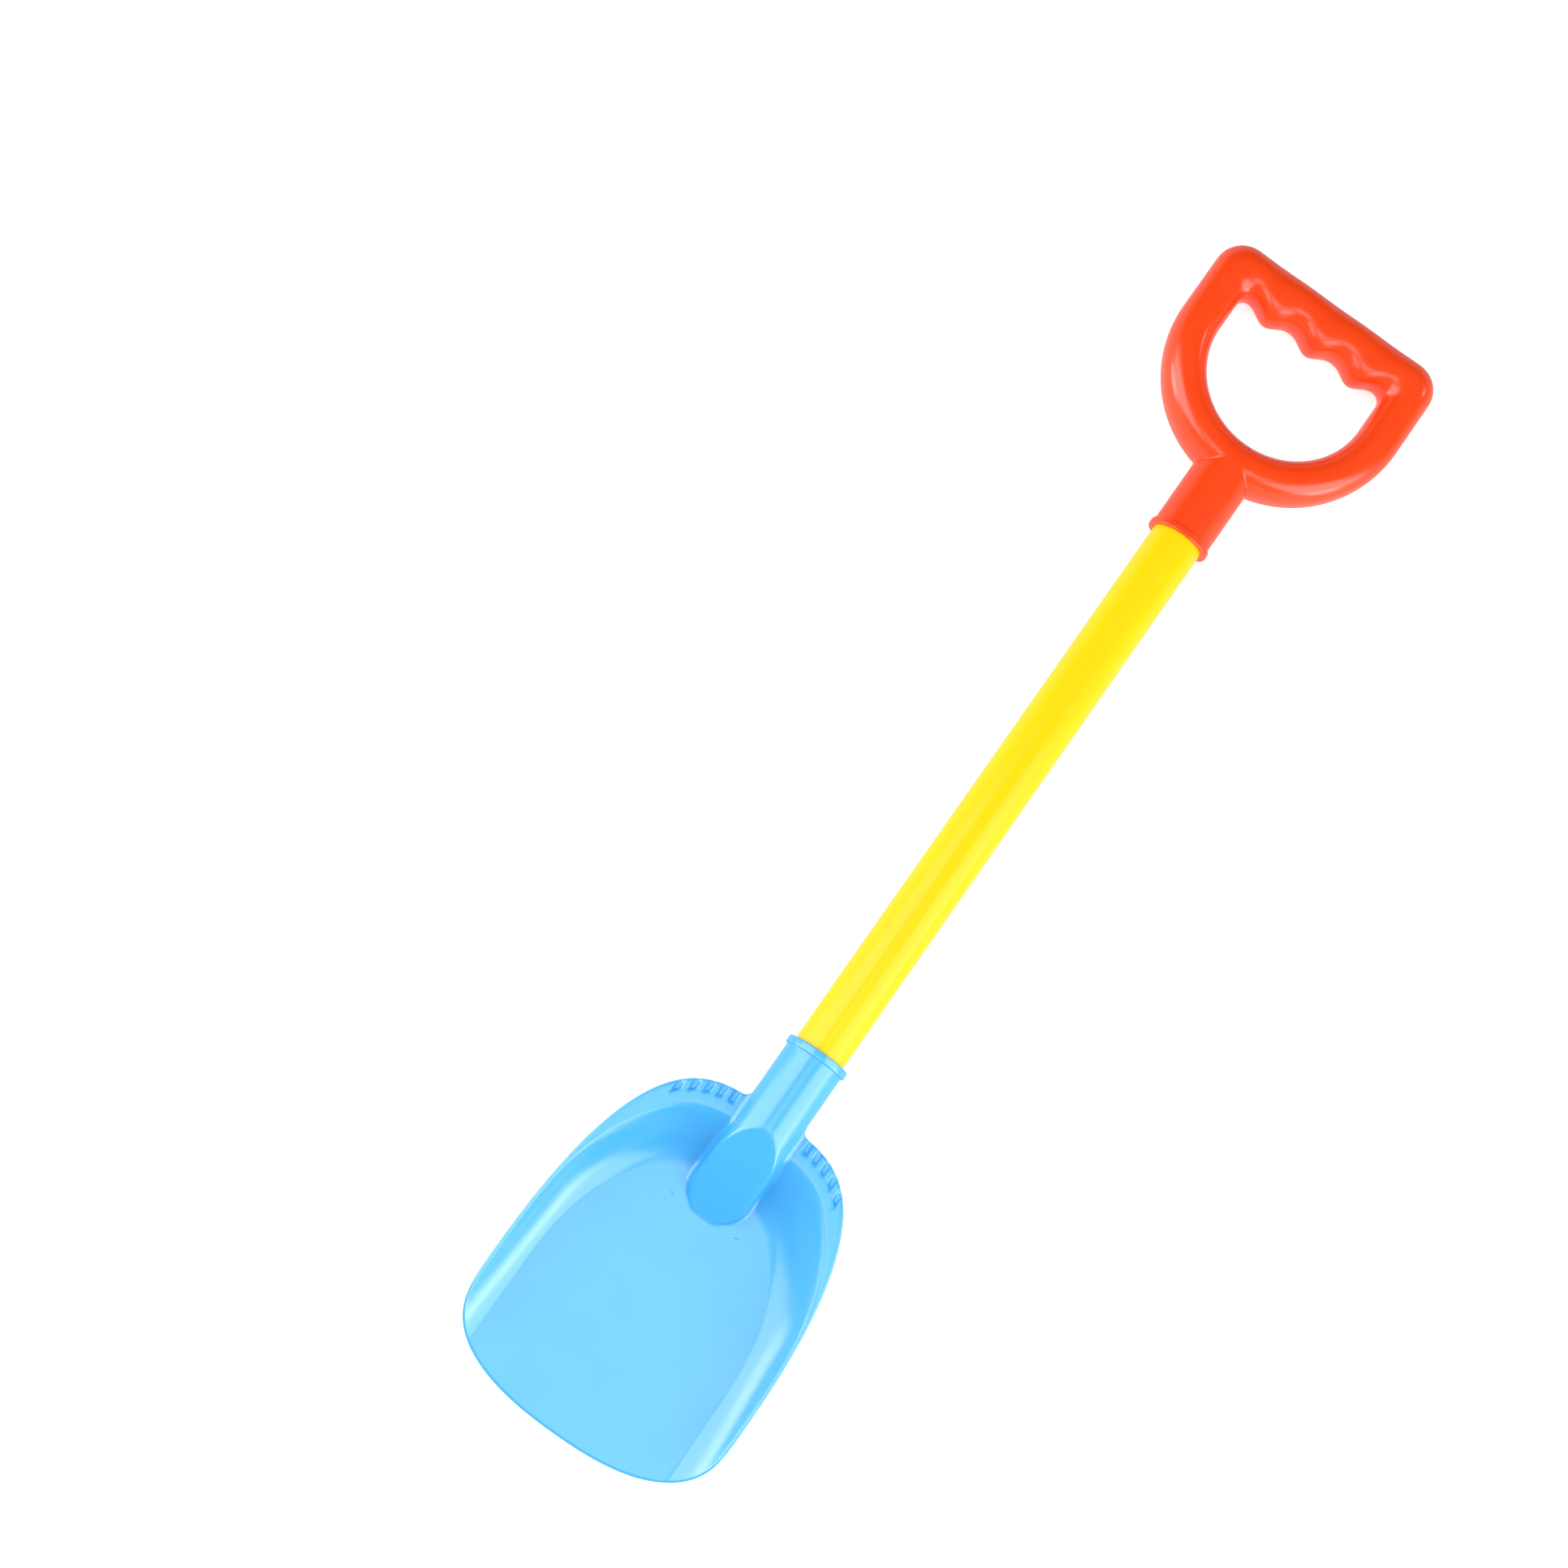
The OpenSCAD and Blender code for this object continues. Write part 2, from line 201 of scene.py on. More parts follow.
def evenly(points, count, weight=None):
    """A polyline (n, 2) cut again into count points, evenly by its length or its weighted length."""
    length = np.linalg.norm(np.diff(points, axis=0), axis=1)
    if weight is not None:
        length = length * (weight[:-1] + weight[1:]) / 2.0
    run = np.concatenate([[0.0], np.cumsum(length)])
    at = np.linspace(0.0, run[-1], count)
    return np.stack([np.interp(at, run, points[:, k]) for k in range(points.shape[1])], axis=1)


def spread(rows, count):
    """Each row of a (rows, n, 3) array cut again into count points.

    They are evenly spaced by the length along the row plus BEND_MM for each radian that the row turns,
    so bends get more points than straight stretches. A bend adds at most BEND_MOST times its length.
    """
    step = np.diff(rows, axis=1)
    length = np.linalg.norm(step, axis=2)
    unit = step / np.maximum(length, TINY)[..., None]
    turn = np.arccos(np.clip(np.sum(unit[:, :-1] * unit[:, 1:], axis=2), -1.0, 1.0))
    bend = np.zeros_like(length)
    bend[:, :-1] += BEND_MM * turn / 2.0
    bend[:, 1:] += BEND_MM * turn / 2.0
    measure = length + np.minimum(bend, BEND_MOST * length)
    run = np.concatenate([np.zeros((len(rows), 1)), np.cumsum(measure, axis=1)], axis=1)
    run = run / run[:, -1:]
    offset = 2.0 * np.arange(len(rows))[:, None]
    at = (np.linspace(0.0, 1.0, count)[None, :] + offset).ravel()
    parts = [np.interp(at, (run + offset).ravel(), rows[..., k].ravel()) for k in range(3)]
    return np.stack(parts, axis=1).reshape(len(rows), count, 3)


def grid_faces(rows, cols, wrap=False):
    """Corner numbers of a (rows, cols) grid's quads, its last column joined to the first on request."""
    r = np.arange(rows - 1)[:, None]
    c = np.arange(cols if wrap else cols - 1)[None, :]
    n = (c + 1) % cols
    quads = np.stack([r * cols + c, r * cols + n, (r + 1) * cols + n, (r + 1) * cols + c], axis=-1)
    return quads.reshape(-1, 4)


def piece_from_grids(name, grids, mirror=False, wrap=False):
    """One closed mesh object from point grids in millimetres.

    On request each grid gets a copy mirrored in X. Shared edges and poles are then merged, empty faces
    are dropped and the faces are turned outwards.
    """
    points = []
    faces = []
    start = 0
    sides = (1.0, -1.0) if mirror else (1.0,)
    for grid in grids:
        for side in sides:
            points.append((grid * np.array([side, 1.0, 1.0])).reshape(-1, 3))
            faces.append(grid_faces(grid.shape[0], grid.shape[1], wrap) + start)
            start += grid.shape[0] * grid.shape[1]
    mesh = bpy.data.meshes.new(name)
    mesh.from_pydata(np.concatenate(points) * MM, [], np.concatenate(faces))
    work = bmesh.new()
    work.from_mesh(mesh)
    bmesh.ops.remove_doubles(work, verts=work.verts, dist=MERGE_MM * MM)
    bmesh.ops.dissolve_degenerate(work, edges=work.edges, dist=EMPTY_MM * MM)
    bmesh.ops.recalc_face_normals(work, faces=work.faces)
    work.to_mesh(mesh)
    work.free()
    mesh.shade_smooth()
    piece = bpy.data.objects.new(name, mesh)
    bpy.context.scene.collection.objects.link(piece)
    return piece


# Pan

def past_floor(x, d):
    """Distance outside the floor's outline |x/a|^q + |d/b|^p = 1: value over length of gradient."""
    a = np.maximum(np.abs(x), SLACK) / FLOOR_HALF
    b = np.maximum(0.0, d - WIDEST_AT) / FLOOR_RUN
    value = a ** FLOOR_Q + b ** FLOOR_P - 1.0
    slope_x = FLOOR_Q * a ** (FLOOR_Q - 1.0) / FLOOR_HALF
    slope_d = FLOOR_P * b ** (FLOOR_P - 1.0) / FLOOR_RUN
    return value / np.hypot(slope_x, slope_d)


def within_rim(x, d):
    """Distance inside the rim's outline, found in the same way."""
    a = np.maximum(np.abs(x), SLACK) / HALF_W
    b = np.maximum(0.0, d - WIDEST_AT) / BACK_LEN
    value = 1.0 - a ** BACK_Q - b ** BACK_P
    slope_x = BACK_Q * a ** (BACK_Q - 1.0) / HALF_W
    slope_d = BACK_P * b ** (BACK_P - 1.0) / BACK_LEN
    return np.maximum(0.0, value / np.hypot(slope_x, slope_d))


def wall_at(x, d):
    """Place on the wall: 0 at the floor's outline and 1 at the rim's."""
    out = np.maximum(0.0, past_floor(x, d))
    return out / np.maximum(out + within_rim(x, d), TINY)


def rim_share(d):
    """Share of the wall that is flat rim: a smooth step from the sides' to the back's, from mid-pan on."""
    half = PAN_LEN / 2.0
    return SIDE_RIM_SHARE + (BACK_RIM_SHARE - SIDE_RIM_SHARE) * ease((d - half) / half)


def bowl_z(x, d):
    """Height of the pan's inside without the pockets.

    The back wall is a smooth step that ends where the flat rim begins. The side walls are hollow: a slant
    plus a circle's arc, rounded over into the rim. One fades into the other along the pan.
    """
    height = FRONT_DEPTH + (PAN_DEPTH - FRONT_DEPTH) * ease(d / WALL_FULL_AT)
    up = wall_at(x, d) / (1.0 - rim_share(d))
    held = np.minimum(up, 1.0)
    full_arc = 1.0 - math.sqrt(1.0 - HOLLOW_ARC ** 2)
    arc = (1.0 - np.sqrt(1.0 - (HOLLOW_ARC * held) ** 2)) / full_arc
    slant = HOLLOW_START * held + (1.0 - HOLLOW_START) * arc
    hollow = soft_min(slant + np.maximum(0.0, up - 1.0), 1.0, HOLLOW_ROUND / height)
    share = ease((d - HOLLOW_FADE[0]) / (HOLLOW_FADE[1] - HOLLOW_FADE[0]))
    return FLOOR_T + height * (hollow + (ease(up) - hollow) * share)


def rim_back(x):
    """Distance from the tip to the back edge at x, from the rim's outline."""
    a = np.clip(np.abs(x) / HALF_W, 0.0, 1.0)
    return WIDEST_AT + BACK_LEN * (1.0 - a ** BACK_Q) ** (1.0 / BACK_P)


def pockets(x, d):
    """Share of the pockets' full depth: steps down and up in x, times a step near the back edge."""
    place = np.clip(np.round((x - POCKET_FIRST) / POCKET_PITCH), 0, POCKET_COUNT - 1)
    aside = np.abs(x - POCKET_FIRST - POCKET_PITCH * place)
    across = ease((POCKET_HALF + POCKET_SOFT / 2.0 - aside) / POCKET_SOFT)
    along = ease((d - rim_back(x) + POCKET_LEN) / POCKET_SOFT)
    return across * along


def inside_z(x, d):
    """Height of the pan's inside: the bowl, with the pockets sunk in the back of its rim."""
    return bowl_z(x, d) - POCKET_DEPTH * pockets(x, d)


def outside_z(x, d):
    """Height of the pan's underside: the bowl less the floor's thickness, square to the slope."""
    step = 0.3
    slope_x = (bowl_z(x + step, d) - bowl_z(x - step, d)) / (2.0 * step)
    slope_d = (bowl_z(x, d + step) - bowl_z(x, d - step)) / (2.0 * step)
    return np.maximum(0.0, bowl_z(x, d) - FLOOR_T * np.sqrt(1.0 + slope_x ** 2 + slope_d ** 2))


def corner_rise(gap, radius):
    """Height of a quarter-round inside corner at a gap from the wall: radius at 0, 0 from radius on."""
    left = np.clip(radius - gap, 0.0, radius)
    return radius - np.sqrt(np.maximum(radius ** 2 - left ** 2, 0.0))


def tongue_reach(x, d):
    """Distance from the tongue's axis, or in front of its bend from the middle of its round end."""
    return np.hypot(x, np.maximum(0.0, TONGUE_BEND - d))


def socket_half(x):
    """Half height of the round socket at x, from its circle."""
    return np.sqrt(np.maximum(SOCKET_R ** 2 - x ** 2, 0.0))


def scoop_top(x, d):
    """Upper surface: the pan's inside with the tongue standing on it.

    The tongue is the socket's upper half cut by the slanted plane. Its upper edge is rounded, its sides
    drop straight, and a quarter round joins them to the pan. Both radii shrink where the tongue is low.
    """
    base = inside_z(x, d)
    reach = tongue_reach(x, d)
    scarf = FLOOR_T + (d - TONGUE_END) * SCARF_SLOPE
    tall = np.maximum(0.0, scarf - base)
    edge = np.minimum(SCARF_ROUND, tall / 2.0)
    foot = np.minimum(FOOT_ROUND, tall / 2.0)
    cut = scarf - corner_rise(np.maximum(0.0, SOCKET_R - reach), edge)
    tongue = soft_min(cut, AXIS_H + socket_half(x), SCARF_BLEND)
    wall = socket_half(np.maximum(0.0, base + foot - AXIS_H))
    return np.where(reach < wall, tongue, base + corner_rise(reach - wall, foot))


def scoop_under(x, d):
    """Lower surface: the pan's outside, with the socket's lower half hung below it in a quarter round."""
    base = outside_z(x, d)
    reach = tongue_reach(x, d)
    foot = np.clip((base - AXIS_H + SOCKET_R) / 2.0, 0.0, FOOT_ROUND)
    wall = socket_half(AXIS_H - base + foot)
    hung = AXIS_H - socket_half(np.minimum(x, wall))
    return np.where(reach < wall, np.minimum(hung, base), base - corner_rise(reach - wall, foot))


def pan_rows():
    """Plan of the pan as rows: start on the axis, knee beside the tongue, end on the rim.

    The front rows are rays from the widest place to the front edge. Behind it the rows start level with
    their ends, lag behind them round the shoulder, and close up again in the corner at the socket.
    The last array fades the rim's rounding out in that corner.
    """
    front_n, back_n, corner_n = 56, 186, 14
    t = np.linspace(QUARTER, 0.0, FINE)
    front_x = HALF_W * np.cos(t) ** (2 / FRONT_Q)
    front_d = WIDEST_AT * (1 - np.sin(t) ** (2 / FRONT_P))
    front = np.stack([front_x, front_d], axis=1)
    front[0, 0] = 0.0
    ends_a = evenly(front, front_n)
    starts_a = np.tile([0.0, WIDEST_AT], (front_n, 1))

    corner_x = SOCKET_R + NECK_FILLET
    t = np.linspace(0.0, QUARTER, 4 * FINE)
    back_x = HALF_W * np.cos(t) ** (2 / BACK_Q)
    back_d = WIDEST_AT + BACK_LEN * np.sin(t) ** (2 / BACK_P)
    back = np.stack([back_x, back_d], axis=1)
    back = back[back[:, 0] >= corner_x]
    back[-1] = (corner_x, rim_back(corner_x))
    crowd, crowd_past, crowd_fade = 2.0, 4.0, 6.0
    pocket_reach = POCKET_FIRST + POCKET_COUNT * POCKET_PITCH
    near_pockets = ease((pocket_reach + crowd_past - back[:, 0]) / crowd_fade)
    ends_b = evenly(back, back_n, 1.0 + crowd * near_pockets)
    run = np.concatenate([[0.0], np.cumsum(np.linalg.norm(np.diff(ends_b, axis=0), axis=1))])
    share = run / run[-1]
    most_lag, lag_pow = 25.0, 1.6
    end_lag, end_pow = 1.8, 8
    lag = most_lag * np.sin(math.pi * share ** lag_pow) + end_lag * share ** end_pow
    starts_b = np.stack([np.zeros(back_n), ends_b[:, 1] - lag], axis=1)

    v = np.linspace(0.0, 1.0, corner_n + 1)[1:]
    centre = np.array([corner_x, ends_b[-1, 1] + NECK_FILLET])
    arc = np.stack([-np.sin(QUARTER * v), -np.cos(QUARTER * v)], axis=1)
    ends_c = centre + NECK_FILLET * arc
    starts_c = np.stack([np.zeros(corner_n), ends_c[:, 1] - end_lag * (1.0 - v)], axis=1)

    wide_knee, close_knee, ray_knee = 13.5, 11.0, 0.25
    close_from, close_run = 0.8, 0.2
    knee_b = wide_knee - (wide_knee - close_knee) * ease((share - close_from) / close_run)
    knee_x = np.concatenate([np.full(front_n, wide_knee), knee_b[1:], np.full(corner_n, close_knee)])
    starts = np.concatenate([starts_a, starts_b[1:], starts_c])
    ends = np.concatenate([ends_a, ends_b[1:], ends_c])
    knees = np.stack([knee_x, starts[:, 1]], axis=1)
    ray = (np.arange(len(ends)) < front_n)[:, None]
    knees = np.where(ray, starts + (ends - starts) * ray_knee, knees)
    fade = np.concatenate([np.ones(front_n + back_n - 1), 1.0 - ease(v)])
    return starts, knees, ends, fade


def pan_grids():
    """Upper and lower grids of the pan, tongue and neck corner, for x from 0 outwards.

    Both heights are worked out at fine steps along each row. Near the rim they close on their middle in
    half an ellipse, so the edge is round and the two grids meet in one line.
    """
    starts, knees, ends, fade = pan_rows()
    p = np.linspace(0.0, 1.0, FINE)[None, :, None]
    bend = 0.35
    first = starts[:, None] + (knees - starts)[:, None] * np.minimum(p / bend, 1.0)
    plan = first + (ends - knees)[:, None] * np.maximum(0.0, (p - bend) / (1.0 - bend))
    x, d = plan[..., 0], plan[..., 1]

    along = np.gradient(ends, axis=0)
    along = along / np.maximum(np.linalg.norm(along, axis=1, keepdims=True), TINY)
    last = ends - knees
    last = last / np.maximum(np.linalg.norm(last, axis=1, keepdims=True), TINY)
    square = np.abs(along[:, 0] * last[:, 1] - along[:, 1] * last[:, 0])
    rest = np.linalg.norm(plan - ends[:, None], axis=2) * square[:, None]

    top = scoop_top(x, d)
    under = scoop_under(x, d)
    middle = (top + under) / 2.0
    half = (top - under) / 2.0
    edge = np.minimum(RIM_ROUND, half[:, -1:]) * fade[:, None]
    inward = np.clip(rest / np.maximum(edge, TINY), 0.0, 1.0)
    close = np.where(edge > SLACK, np.sqrt(np.clip(1.0 - (1.0 - inward) ** 2, 0.0, 1.0)), 1.0)
    close[:, -1] = 0.0
    y = d + TIP_Y
    upper = spread(np.stack([x, y, middle + half * close], axis=2), PAN_TOP)
    lower = spread(np.stack([x, y, middle - half * close], axis=2)[:, ::-1], PAN_UNDER)
    return upper, lower


# Sockets

def lathe_rows(profile, centre_y, angles):
    """A profile (distance along Y, radius) carried round the tube's axis through angles from the top."""
    along, radius = profile[:, :1], profile[:, 1:]
    flat = np.ones_like(angles)[None, :]
    x = radius * np.sin(angles)[None, :]
    z = AXIS_H + radius * np.cos(angles)[None, :]
    return np.stack([x, (along + centre_y) * flat, z], axis=2)


def sunk(rows, profile, screw_y):
    """Rows of a turned profile with a round recess for the screw's head in the socket's underside.

    The recess is a smooth step in the distance from the screw's axis. The bore's rows are left alone.
    """
    low_share = 0.5
    reach = np.hypot(rows[..., 0], rows[..., 1] - screw_y)
    depth = SINK_DEPTH * ease((SINK_R + SINK_SOFT - reach) / SINK_SOFT)
    below = rows[..., 2] < AXIS_H - low_share * SOCKET_R
    outside = (profile[:, 1] > SOCKET_R - SLACK)[:, None]
    out = rows.copy()
    out[..., 2] += np.where(below & outside, depth, 0.0)
    return out


def rounded_profile(corners, radii, steps=6):
    """A polyline (n, 2) whose inner corners are cut by parabolas that meet it at the given distances."""
    parts = [corners[:1]]
    t = np.linspace(0.0, 1.0, steps)[:, None]
    for before, corner, after, radius in zip(corners[:-2], corners[1:-1], corners[2:], radii):
        into = corner + (before - corner) * radius / np.linalg.norm(before - corner)
        out = corner + (after - corner) * radius / np.linalg.norm(after - corner)
        parts.append((1 - t) ** 2 * into + 2 * t * (1 - t) * corner + t ** 2 * out)
    parts.append(corners[-1:])
    return np.concatenate(parts)


def wall_rows(first, last, screw_at):
    """Places of the rows along a socket's wall, close together where the screw's head is sunk."""
    coarse, fine, margin = 12, 30, 3.0
    near = SINK_R + margin * SINK_SOFT
    return np.concatenate([
        np.linspace(first, screw_at - near, coarse)[:-1],
        np.linspace(screw_at - near, screw_at + near, fine),
        np.linspace(screw_at + near, last, coarse)[1:]])


def socket_profile(length, bead_len, bore_len):
    """Profile of a socket's last stretch: outside wall, round bead, end face, bore and its flat end."""
    wall_start = 0.5
    corners = np.array([
        [0.0, SOCKET_R], [length - bead_len, SOCKET_R], [length - bead_len, BEAD_R], [length, BEAD_R],
        [length, BORE_R], [length - bore_len, BORE_R], [length - bore_len, 0.0]])
    mouth = rounded_profile(corners, [BEAD_FOOT, BEAD_EDGE, BEAD_EDGE, MOUTH_EDGE, MOUTH_EDGE])
    along = wall_rows(wall_start, mouth[1, 0], length - SCREW_IN)
    wall = np.stack([along, np.full_like(along, SOCKET_R)], axis=1)
    return np.concatenate([wall, mouth[2:]])


def gathered_rows(profile, centre_y, angles):
    """A profile turned round the axis, with its columns gathered at the last angle, the socket's bottom.

    The share of the turn that is left is raised to a power, which fades in over the first rows.
    """
    fade_mm, gather_pow = 7.0, 1.8
    gather = ease(profile[:, :1] / fade_mm)
    low = angles[-1]
    pulled = low - (low - angles[0]) * ((low - angles) / (low - angles[0])) ** gather_pow
    turned = angles[None, :] * (1.0 - gather) + pulled[None, :] * gather
    return np.stack([
        profile[:, 1:] * np.sin(turned),
        np.broadcast_to(profile[:, :1] + centre_y, turned.shape),
        AXIS_H + profile[:, 1:] * np.cos(turned)], axis=2)


def scoop_shell():
    """The scoop in one closed surface: pan grids, then the neck, bead and bore turned round the axis."""
    upper, lower = pan_grids()
    neck_y = upper[-1, -1, 1]
    mouth_y = TIP_Y + SCOOP_LEN
    profile = socket_profile(mouth_y - neck_y, SCOOP_BEAD, SCOOP_BORE)
    top = lathe_rows(profile, neck_y, QUARTER * np.linspace(0.0, 1.0, PAN_TOP))
    under = gathered_rows(profile, neck_y, QUARTER * np.linspace(1.0, 2.0, PAN_UNDER))
    under = sunk(under, profile, mouth_y - SCREW_IN)
    return piece_from_grids("scoop_shell", [
        np.concatenate([upper, top]), np.concatenate([lower, under])], mirror=True)


# Grip

def bump(x):
    """Finger bumps: a power of a raised cosine, BUMP_COUNT waves wide."""
    wave = (1.0 + np.cos(2.0 * math.pi * x / BUMP_PITCH)) / 2.0
    return np.where(np.abs(x) < BUMP_COUNT * BUMP_PITCH / 2.0, BUMP_H * wave ** BUMP_POW, 0.0)


def half_t(e):
    """Half thickness of the D: a smooth step from the bar's to the yoke's at its foot."""
    return BAR_HALF_T + (YOKE_HALF_T - BAR_HALF_T) * ease((OPEN_MID - e) / (OPEN_MID - YOKE_AT))


def grip_rows():
    """Plan of the right half of the grip as rows from an inner edge to an outer edge.

    The inner edge runs up the axis to the foot of the opening and then round it. The outer edge runs up
    the socket's side, waits in the corner under the D, and then runs round it to the middle of the bar.
    """
    wall_n, wait_n, arc_n, side_n, turn_n, top_n = 34, 26, 92, 6, 22, 84
    corner_e = OUTER_MID - math.sqrt(OUTER_HALF ** 2 - SOCKET_R ** 2)
    start_e = GRIP_BEAD + SCREW_IN + SCREW_ROOM
    wall_e = np.linspace(start_e, corner_e, wall_n)
    wall_in = np.stack([np.zeros(wall_n), wall_e], axis=1)
    wall_out = np.stack([np.full(wall_n, SOCKET_R), wall_e], axis=1)

    wait_e = np.linspace(corner_e, OPEN_AT, wait_n + 1)[1:]
    wait_in = np.stack([np.zeros(wait_n), wait_e], axis=1)
    wait_out = np.tile([SOCKET_R, corner_e], (wait_n, 1))

    v = np.linspace(0.0, 1.0, arc_n + 1)[1:]
    corner_a = math.asin(SOCKET_R / OUTER_HALF)
    a_in = QUARTER * v
    a_out = corner_a + (QUARTER - corner_a) * v
    arc_in = np.stack([OPEN_HALF * np.sin(a_in), OPEN_MID - OPEN_HALF * np.cos(a_in)], axis=1)
    arc_out = np.stack([OUTER_HALF * np.sin(a_out), OUTER_MID - OUTER_HALF * np.cos(a_out)], axis=1)

    v = np.linspace(0.0, 1.0, side_n + 1)[1:, None]
    side_in = arc_in[-1] + (np.array([OPEN_HALF, GROOVE_AT - INNER_R]) - arc_in[-1]) * v
    side_out = arc_out[-1] + (np.array([OUTER_HALF, GRIP_LEN - CORNER_R]) - arc_out[-1]) * v

    a = QUARTER * np.linspace(0.0, 1.0, turn_n + 1)[1:]
    turn = np.stack([np.cos(a), np.sin(a)], axis=1)
    turn_in = np.array([OPEN_HALF - INNER_R, GROOVE_AT - INNER_R]) + INNER_R * turn
    turn_out = np.array([OUTER_HALF - CORNER_R, GRIP_LEN - CORNER_R]) + CORNER_R * turn

    v = np.linspace(1.0, 0.0, top_n + 1)[1:]
    top_x = (OPEN_HALF - INNER_R) * v
    top_in = np.stack([top_x, GROOVE_AT - bump(top_x)], axis=1)
    top_out = np.stack([(OUTER_HALF - CORNER_R) * v, np.full(top_n, GRIP_LEN)], axis=1)

    inner = np.concatenate([wall_in, wait_in, arc_in, side_in, turn_in, top_in])
    outer = np.concatenate([wall_out, wait_out, arc_out, side_out, turn_out, top_out])
    paired = np.arange(len(inner)) >= wall_n + wait_n + arc_n
    return inner, outer, paired


def grip_height(x, e, across, paired):
    """Half height of the grip above its middle plane.

    The D is a superellipse in the place across it, from -1 at the opening to 1 outside. On the arcs that
    place comes from the distances to both circles, and on the sides and top from the row. The socket is a
    circle that ends in half an ellipsoid inside the D, and the two join in a soft maximum.
    """
    from_open = np.hypot(x, e - OPEN_MID) - OPEN_HALF
    from_edge = OUTER_HALF - np.hypot(x, e - OUTER_MID)
    inside = np.clip(from_open, 0.0, None) / np.maximum(np.abs(from_open) + np.abs(from_edge), TINY)
    place = np.where(paired, across, 2.0 * np.where(from_edge < 0.0, 1.0, inside) - 1.0)
    middle_e = np.where(paired, (e[:, :1] + e[:, -1:]) / 2.0, e)
    ring = half_t(middle_e) * np.clip(1.0 - np.abs(place) ** RING_POW, 0.0, 1.0) ** (1.0 / RING_POW)
    cap = np.clip((e - CAP_FROM) / CAP_LEN, 0.0, 1.0)
    socket = np.sqrt(np.clip(SOCKET_R ** 2 * (1.0 - cap ** 2) - x ** 2, 0.0, None))
    socket = np.where(paired, 0.0, socket)
    joined = soft_max(ring, socket, YOKE_BLEND * ease(np.minimum(ring, socket) / YOKE_FADE))
    return soft_min(joined, BEAD_R, YOKE_TOP)


def grip_shell():
    """The grip in one closed surface: the D's rows, then socket, lip and bore turned round the axis."""
    inner, outer, paired = grip_rows()
    p = np.linspace(0.0, 1.0, FINE)[None, :]
    share = (1.0 - np.cos(math.pi * p)) / 2.0
    plan = inner[:, None] + (outer - inner)[:, None] * share[..., None]
    x, e = plan[..., 0], plan[..., 1]
    height = grip_height(x, e, 2.0 * share - 1.0, paired[:, None])
    height[:, -1] = 0.0
    upper = spread(np.stack([x, e + GRIP_MOUTH_Y, AXIS_H + height], axis=2), GRIP_COLS)[::-1]
    lower = upper * np.array([1.0, 1.0, -1.0]) + np.array([0.0, 0.0, 2.0 * AXIS_H])
    start_e = inner[0, 1]
    profile = socket_profile(start_e, GRIP_BEAD, YOKE_AT)
    profile[:, 0] = start_e - profile[:, 0]
    top = lathe_rows(profile, GRIP_MOUTH_Y, QUARTER * np.linspace(0.0, 1.0, GRIP_COLS))
    under = lathe_rows(profile, GRIP_MOUTH_Y, QUARTER * np.linspace(2.0, 1.0, GRIP_COLS))
    under = sunk(under, profile, GRIP_MOUTH_Y + SCREW_IN)
    return piece_from_grids("grip_shell", [
        np.concatenate([upper, top]), np.concatenate([lower, under])], mirror=True)


# Tube

def tube_shell():
    """The tube turned round its axis: outside, rounded end, bore and the other rounded end."""
    bore = TUBE_R - TUBE_WALL
    middle = (TUBE_FROM + TUBE_TO) / 2.0
    corners = np.array([
        [middle, TUBE_R], [TUBE_TO, TUBE_R], [TUBE_TO, bore], [TUBE_FROM, bore],
        [TUBE_FROM, TUBE_R], [middle, TUBE_R]])
    profile = rounded_profile(corners, [TUBE_EDGE] * 4)
    angles = 2.0 * math.pi * np.arange(TUBE_COLS) / TUBE_COLS
    return piece_from_grids("tube_shell", [lathe_rows(profile, 0.0, angles)], wrap=True)


# Materials

